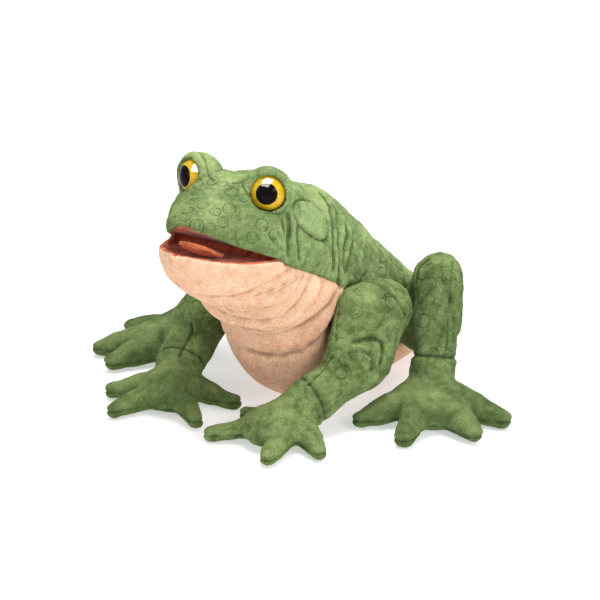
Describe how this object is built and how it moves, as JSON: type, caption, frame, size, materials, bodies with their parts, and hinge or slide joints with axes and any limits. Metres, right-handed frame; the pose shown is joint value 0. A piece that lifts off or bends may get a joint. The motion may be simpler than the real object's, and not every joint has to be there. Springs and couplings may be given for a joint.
{
  "type": "hand puppet",
  "caption": "Plush frog hand puppet: sleeve open at the rump, mouth worked by fingers and thumb, domed eyes, folded cloth tongue and stuffed limbs that bend.",
  "frame": {"origin": "on the surface the puppet sits on, at the middle of the flat of its belly", "axes": "-Z out of the belly into that surface; the frog faces -Y and its left side is +X"},
  "size_m": [0.3216, 0.2709, 0.1897],
  "materials": {
    "plush_green": "matt short-pile plush",
    "plush_sole": "matt short-pile plush",
    "plush_peach": "matt short-pile plush",
    "mouth_cloth": "smooth brushed cloth",
    "tongue_cloth": "smooth brushed cloth",
    "lining": "plain woven cloth",
    "filling": "loose polyester fibre",
    "board": "flexible sheet",
    "iris": "polished",
    "pupil": "polished",
    "washer": "moulded"
  },
  "bodies": {
    "body": {"back_skin": "plush_green", "belly_skin": "plush_peach", "sleeve_lining": "lining", "opening_hem": "plush_green"},
    "neck": {"neck_lining": "lining"},
    "head": {"head_skin": "plush_green", "throat_skin": "plush_peach", "palate_cloth": "mouth_cloth", "palate_board": "board", "finger_pocket": "lining", "crown_filling": "filling", "eye_left": "iris", "pupil_left": "pupil", "eye_washer_left": "washer", "eye_socket_left": "plush_green", "ear_patch_left": "plush_green", "eye_right": "iris", "pupil_right": "pupil", "eye_washer_right": "washer", "eye_socket_right": "plush_green", "ear_patch_right": "plush_green"},
    "jaw": {"jaw_skin": "plush_peach", "mouth_floor_cloth": "mouth_cloth", "jaw_board": "board", "thumb_pocket": "lining"},
    "tongue": {"tongue_underside": "tongue_cloth", "tongue_top": "tongue_cloth"},
    "upper_arm_left": {"upper_arm_left": "plush_green"},
    "forearm_left": {"forearm_left": "plush_green"},
    "hand_left": {"hand_top_left": "plush_green", "hand_sole_left": "plush_sole"},
    "thigh_left": {"thigh_left": "plush_green"},
    "shin_left": {"shin_left": "plush_green"},
    "foot_left": {"foot_top_left": "plush_green", "foot_sole_left": "plush_sole"},
    "upper_arm_right": {"upper_arm_right": "plush_green"},
    "forearm_right": {"forearm_right": "plush_green"},
    "hand_right": {"hand_top_right": "plush_green", "hand_sole_right": "plush_sole"},
    "thigh_right": {"thigh_right": "plush_green"},
    "shin_right": {"shin_right": "plush_green"},
    "foot_right": {"foot_top_right": "plush_green", "foot_sole_right": "plush_sole"}
  },
  "joints": [
    {"name": "head_turn", "type": "hinge", "parent": "body", "child": "neck", "pos_m": [0, -0.066, 0.112], "axis": [0, 0, 1], "range_deg": [-15, 15]},
    {"name": "head_nod", "type": "hinge", "parent": "neck", "child": "head", "pos_m": [0, -0.066, 0.112], "axis": [1, 0, 0], "range_deg": [-14, 9]},
    {"name": "jaw_open", "type": "hinge", "parent": "head", "child": "jaw", "pos_m": [0, -0.115, 0.131], "axis": [1, 0, 0], "range_deg": [-15, 20]},
    {"name": "tongue_lift", "type": "hinge", "parent": "jaw", "child": "tongue", "pos_m": [0, -0.13298, 0.13236], "axis": [-1, 0, 0], "range_deg": [0, 15]},
    {"name": "shoulder_left", "type": "hinge", "parent": "body", "child": "upper_arm_left", "pos_m": [0.0615, -0.022, 0.073], "axis": [-0.6, -0.8, 0], "range_deg": [-3, 28]},
    {"name": "elbow_left", "type": "hinge", "parent": "upper_arm_left", "child": "forearm_left", "pos_m": [0.0715, -0.04225, 0.041], "axis": [-0.6606, -0.7507, 0], "range_deg": [-2, 26]},
    {"name": "wrist_left", "type": "hinge", "parent": "forearm_left", "child": "hand_left", "pos_m": [0.0495, -0.08275, 0.025], "axis": [-1, 0, 0], "range_deg": [-4, 20]},
    {"name": "hip_left", "type": "hinge", "parent": "body", "child": "thigh_left", "pos_m": [0.06, 0.041, 0.046], "axis": [0, -1, 0], "range_deg": [-2, 12]},
    {"name": "knee_left", "type": "hinge", "parent": "thigh_left", "child": "shin_left", "pos_m": [0.083, 0.017, 0.087], "axis": [-0.3987, -0.9171, 0], "range_deg": [-3, 25]},
    {"name": "ankle_left", "type": "hinge", "parent": "shin_left", "child": "foot_left", "pos_m": [0.092, -0.003, 0.031], "axis": [-0.1496, 0.3325, 0.9311], "range_deg": [-5, 20]},
    {"name": "shoulder_right", "type": "hinge", "parent": "body", "child": "upper_arm_right", "pos_m": [-0.0615, -0.022, 0.073], "axis": [-0.6, 0.8, 0], "range_deg": [-3, 28]},
    {"name": "elbow_right", "type": "hinge", "parent": "upper_arm_right", "child": "forearm_right", "pos_m": [-0.07675, -0.03975, 0.041], "axis": [-0.6606, 0.7507, 0], "range_deg": [-2, 26]},
    {"name": "wrist_right", "type": "hinge", "parent": "forearm_right", "child": "hand_right", "pos_m": [-0.06525, -0.07525, 0.025], "axis": [-1, 0, 0], "range_deg": [-4, 20]},
    {"name": "hip_right", "type": "hinge", "parent": "body", "child": "thigh_right", "pos_m": [-0.06, 0.041, 0.046], "axis": [0, 1, 0], "range_deg": [-2, 12]},
    {"name": "knee_right", "type": "hinge", "parent": "thigh_right", "child": "shin_right", "pos_m": [-0.086, 0.018, 0.087], "axis": [-0.3987, 0.9171, 0], "range_deg": [-3, 25]},
    {"name": "ankle_right", "type": "hinge", "parent": "shin_right", "child": "foot_right", "pos_m": [-0.101, 0, 0.031], "axis": [-0.2471, -0.2965, -0.9225], "range_deg": [-5, 20]}
  ]
}
